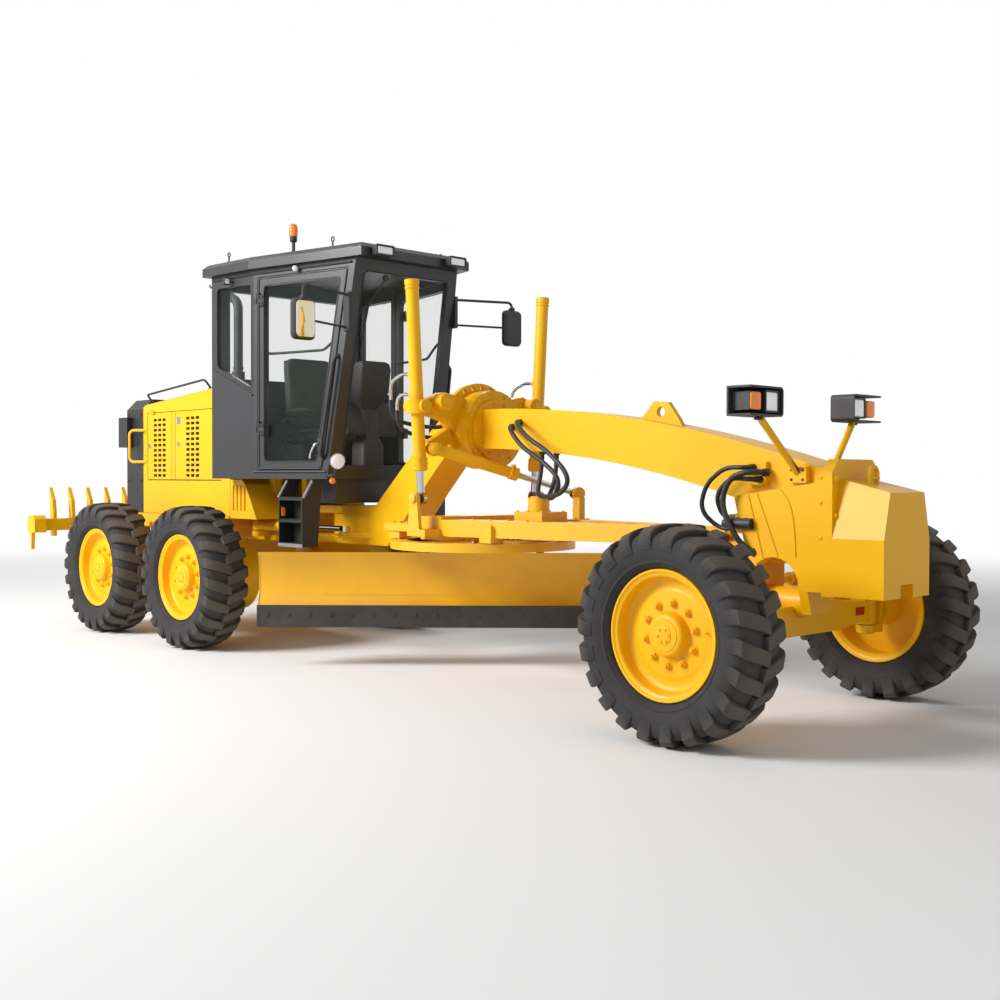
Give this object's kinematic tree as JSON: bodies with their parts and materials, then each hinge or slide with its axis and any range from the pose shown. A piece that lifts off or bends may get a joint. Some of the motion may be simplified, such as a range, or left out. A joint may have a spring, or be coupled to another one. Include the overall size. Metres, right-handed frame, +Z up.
{
  "type": "motor grader",
  "caption": "Articulated road grader with a long curved blade under an arched beam, tandem rear wheels, closed cab and a rear ripper.",
  "frame": {"origin": "middle of the machine's length and width, on the ground under the tyres", "axes": "+X forward along the machine, +Y to its left, +Z up"},
  "size_m": [9.14, 2.546, 3.5003],
  "materials": {
    "yellow_paint": "semi-gloss machine yellow with dust",
    "black_paint": "satin black",
    "cab_grey": "satin charcoal",
    "tyre_rubber": "dusty black",
    "blade_steel": "worn and scuffed",
    "chrome_rod": "polished",
    "tinted_glass": "slightly tinted",
    "engine_iron": "painted casting",
    "seat_vinyl": "matt dark olive",
    "console_plastic": "matt",
    "lamp_plastic": "amber and clear lenses",
    "lamp_shell": "grey shells",
    "hose_rubber": "matt black"
  },
  "bodies": {
    "rear": {"rear_frame": "yellow_paint", "engine_block": "engine_iron", "hood": "yellow_paint", "radiator_guard": "black_paint", "cab_frame": "cab_grey", "cab_roof": "cab_grey", "cab_glass": "tinted_glass", "seat": "seat_vinyl", "control_console": "console_plastic", "steps": "black_paint", "mirrors": "black_paint", "roof_lamps": "lamp_plastic"},
    "door_left": {"door_left": "cab_grey", "door_glass_left": "tinted_glass"},
    "door_right": {"door_right": "cab_grey", "door_glass_right": "tinted_glass"},
    "hood_door_left": {"hood_door_left": "yellow_paint"},
    "hood_door_right": {"hood_door_right": "yellow_paint"},
    "tandem_left": {"tandem_case_left": "yellow_paint"},
    "tandem_right": {"tandem_case_right": "yellow_paint"},
    "front": {"front_frame": "yellow_paint", "neck_beam": "yellow_paint", "front_bolster": "yellow_paint", "nose_weight": "yellow_paint", "saddle": "yellow_paint", "lift_barrels": "yellow_paint", "head_lamps": "lamp_shell", "front_hoses": "hose_rubber"},
    "artic_barrel_left": {"artic_barrel_left": "yellow_paint"},
    "artic_barrel_right": {"artic_barrel_right": "yellow_paint"},
    "artic_rod_left": {"artic_rod_left": "chrome_rod"},
    "artic_rod_right": {"artic_rod_right": "chrome_rod"},
    "front_axle": {"front_axle": "yellow_paint"},
    "knuckle_left": {"knuckle_left": "yellow_paint"},
    "knuckle_right": {"knuckle_right": "yellow_paint"},
    "tie_rod": {"tie_rod": "yellow_paint"},
    "drawbar": {"drawbar": "yellow_paint"},
    "lift_rod_left": {"lift_rod_left": "chrome_rod"},
    "lift_rod_right": {"lift_rod_right": "chrome_rod"},
    "shift_barrel": {"shift_barrel": "yellow_paint"},
    "shift_rod": {"shift_rod": "chrome_rod"},
    "circle": {"circle": "yellow_paint"},
    "blade_carrier": {"blade_carrier": "yellow_paint"},
    "blade": {"mouldboard": "yellow_paint", "cutting_edge": "blade_steel"},
    "ripper": {"ripper": "yellow_paint"},
    "ripper_barrel": {"ripper_barrel": "yellow_paint"},
    "ripper_rod": {"ripper_rod": "chrome_rod"},
    "wheel_rear_left": {"tyre_rear_left": "tyre_rubber", "rim_rear_left": "yellow_paint"},
    "wheel_rear_right": {"tyre_rear_right": "tyre_rubber", "rim_rear_right": "yellow_paint"},
    "wheel_middle_left": {"tyre_middle_left": "tyre_rubber", "rim_middle_left": "yellow_paint"},
    "wheel_middle_right": {"tyre_middle_right": "tyre_rubber", "rim_middle_right": "yellow_paint"},
    "wheel_front_left": {"tyre_front_left": "tyre_rubber", "rim_front_left": "yellow_paint"},
    "wheel_front_right": {"tyre_front_right": "tyre_rubber", "rim_front_right": "yellow_paint"}
  },
  "joints": [
    {"name": "hinge_door_left", "type": "hinge", "parent": "rear", "child": "door_left", "pos_m": [-0.852, 0.762, 2.34], "axis": [0, 0, 1], "range_deg": [0, 85]},
    {"name": "hinge_door_right", "type": "hinge", "parent": "rear", "child": "door_right", "pos_m": [-0.852, -0.762, 2.34], "axis": [0, 0, -1], "range_deg": [0, 85]},
    {"name": "lid_left", "type": "hinge", "parent": "rear", "child": "hood_door_left", "pos_m": [-2.37, 0.612, 2.055], "axis": [1, 0, 0], "range_deg": [0, 80]},
    {"name": "lid_right", "type": "hinge", "parent": "rear", "child": "hood_door_right", "pos_m": [-2.37, -0.612, 2.055], "axis": [-1, 0, 0], "range_deg": [0, 80]},
    {"name": "tandem_pivot_left", "type": "hinge", "parent": "rear", "child": "tandem_left", "pos_m": [-2.1, 0.733, 0.597], "axis": [0, 1, 0], "range_deg": [-15, 15]},
    {"name": "tandem_pivot_right", "type": "hinge", "parent": "rear", "child": "tandem_right", "pos_m": [-2.1, -0.733, 0.597], "axis": [0, 1, 0], "range_deg": [-15, 15]},
    {"name": "axle_rear_left", "type": "hinge", "parent": "tandem_left", "child": "wheel_rear_left", "pos_m": [-2.87, 1.078, 0.597], "axis": [0, 1, 0], "continuous": true},
    {"name": "axle_middle_left", "type": "hinge", "parent": "tandem_left", "child": "wheel_middle_left", "pos_m": [-1.33, 1.078, 0.597], "axis": [0, 1, 0], "continuous": true},
    {"name": "axle_rear_right", "type": "hinge", "parent": "tandem_right", "child": "wheel_rear_right", "pos_m": [-2.87, -1.078, 0.597], "axis": [0, 1, 0], "continuous": true},
    {"name": "axle_middle_right", "type": "hinge", "parent": "tandem_right", "child": "wheel_middle_right", "pos_m": [-1.33, -1.078, 0.597], "axis": [0, 1, 0], "continuous": true},
    {"name": "articulation", "type": "hinge", "parent": "rear", "child": "front", "pos_m": [-0.64, 0, 1.021], "axis": [0, 0, 1], "range_deg": [-25, 25]},
    {"name": "artic_barrel_pivot_left", "type": "hinge", "parent": "rear", "child": "artic_barrel_left", "pos_m": [-1.37, 0.42, 1.01], "axis": [0, 0, 1], "range_deg": [-6.71, 6.71]},
    {"name": "artic_rod_slide_left", "type": "slide", "parent": "artic_barrel_left", "child": "artic_rod_left", "axis": [0.9891, -0.1474, 0], "range_m": [-0.1337, 0.1337]},
    {"name": "artic_barrel_pivot_right", "type": "hinge", "parent": "rear", "child": "artic_barrel_right", "pos_m": [-1.37, -0.42, 1.01], "axis": [0, 0, 1], "range_deg": [-6.71, 6.71]},
    {"name": "artic_rod_slide_right", "type": "slide", "parent": "artic_barrel_right", "child": "artic_rod_right", "axis": [0.9891, 0.1474, 0], "range_m": [-0.1337, 0.1337]},
    {"name": "axle_oscillation", "type": "hinge", "parent": "front", "child": "front_axle", "pos_m": [3.82, 0, 0.7], "axis": [1, 0, 0], "range_deg": [-16, 16]},
    {"name": "steer_left", "type": "hinge", "parent": "front_axle", "child": "knuckle_left", "pos_m": [3.82, 0.86, 0.597], "axis": [0, 0, 1], "range_deg": [-45, 45]},
    {"name": "steer_right", "type": "hinge", "parent": "front_axle", "child": "knuckle_right", "pos_m": [3.82, -0.86, 0.597], "axis": [0, 0, 1], "range_deg": [-45, 45]},
    {"name": "tie_rod_slide", "type": "slide", "parent": "front_axle", "child": "tie_rod", "axis": [0, 1, 0], "range_m": [-0.1609, 0.1609]},
    {"name": "axle_front_left", "type": "hinge", "parent": "knuckle_left", "child": "wheel_front_left", "pos_m": [3.82, 1.078, 0.597], "axis": [0, 1, 0], "continuous": true},
    {"name": "axle_front_right", "type": "hinge", "parent": "knuckle_right", "child": "wheel_front_right", "pos_m": [3.82, -1.078, 0.597], "axis": [0, 1, 0], "continuous": true},
    {"name": "drawbar_lift", "type": "hinge", "parent": "front", "child": "drawbar", "pos_m": [3.56, 0, 0.985], "axis": [0, 1, 0], "range_deg": [-18.5, 3.5]},
    {"name": "lift_rod_slide_left", "type": "slide", "parent": "front", "child": "lift_rod_left", "axis": [0, 0.0583, 0.9983], "range_m": [-0.8082, 0.1537]},
    {"name": "lift_rod_slide_right", "type": "slide", "parent": "front", "child": "lift_rod_right", "axis": [0, -0.0583, 0.9983], "range_m": [-0.8082, 0.1537]},
    {"name": "shift_barrel_pivot", "type": "hinge", "parent": "front", "child": "shift_barrel", "pos_m": [1.14, -0.52, 1.645], "axis": [0.8869, -0.4619, 0], "range_deg": [-26.53, 5.1]},
    {"name": "shift_rod_slide", "type": "slide", "parent": "shift_barrel", "child": "shift_rod", "axis": [0.4424, 0.8494, -0.2876], "range_m": [-0.0522, 0.2716]},
    {"name": "circle_turn", "type": "hinge", "parent": "drawbar", "child": "circle", "pos_m": [1.095, 0, 0.936], "axis": [0, 0, 1], "continuous": true},
    {"name": "blade_tip", "type": "hinge", "parent": "circle", "child": "blade_carrier", "pos_m": [0.95545, 0.13476, 0.505], "axis": [0.6947, 0.7193, 0], "range_deg": [-10, 25]},
    {"name": "blade_sideshift", "type": "slide", "parent": "blade_carrier", "child": "blade", "axis": [0.6947, 0.7193, 0], "range_m": [-0.5, 0.5]},
    {"name": "ripper_lift", "type": "hinge", "parent": "rear", "child": "ripper", "pos_m": [-3.55, 0, 0.96], "axis": [0, 1, 0], "range_deg": [-25, 20]},
    {"name": "ripper_barrel_pivot", "type": "hinge", "parent": "rear", "child": "ripper_barrel", "pos_m": [-3.534, 0, 1.33], "axis": [0, 1, 0], "range_deg": [-20.82, 16.68]},
    {"name": "ripper_rod_slide", "type": "slide", "parent": "ripper_barrel", "child": "ripper_rod", "axis": [-0.95, 0, -0.3122], "range_m": [-0.1183, 0.1476]}
  ],
  "couplings": [
    {"joint": "artic_barrel_pivot_left", "follows": "articulation", "ratio": 0.26432},
    {"joint": "artic_rod_slide_left", "follows": "articulation", "m_per_rad": -0.30524},
    {"joint": "artic_barrel_pivot_right", "follows": "articulation", "ratio": 0.26432},
    {"joint": "artic_rod_slide_right", "follows": "articulation", "m_per_rad": 0.30524},
    {"joint": "steer_right", "follows": "steer_left", "ratio": 1},
    {"joint": "tie_rod_slide", "follows": "steer_left", "m_per_rad": -0.20421},
    {"joint": "lift_rod_slide_left", "follows": "drawbar_lift", "m_per_rad": 2.5},
    {"joint": "lift_rod_slide_right", "follows": "drawbar_lift", "m_per_rad": 2.5},
    {"joint": "shift_barrel_pivot", "follows": "drawbar_lift", "ratio": 1.4286},
    {"joint": "shift_rod_slide", "follows": "drawbar_lift", "m_per_rad": -0.83813},
    {"joint": "ripper_barrel_pivot", "follows": "ripper_lift", "ratio": 0.82897},
    {"joint": "ripper_rod_slide", "follows": "ripper_lift", "m_per_rad": -0.33608}
  ]
}
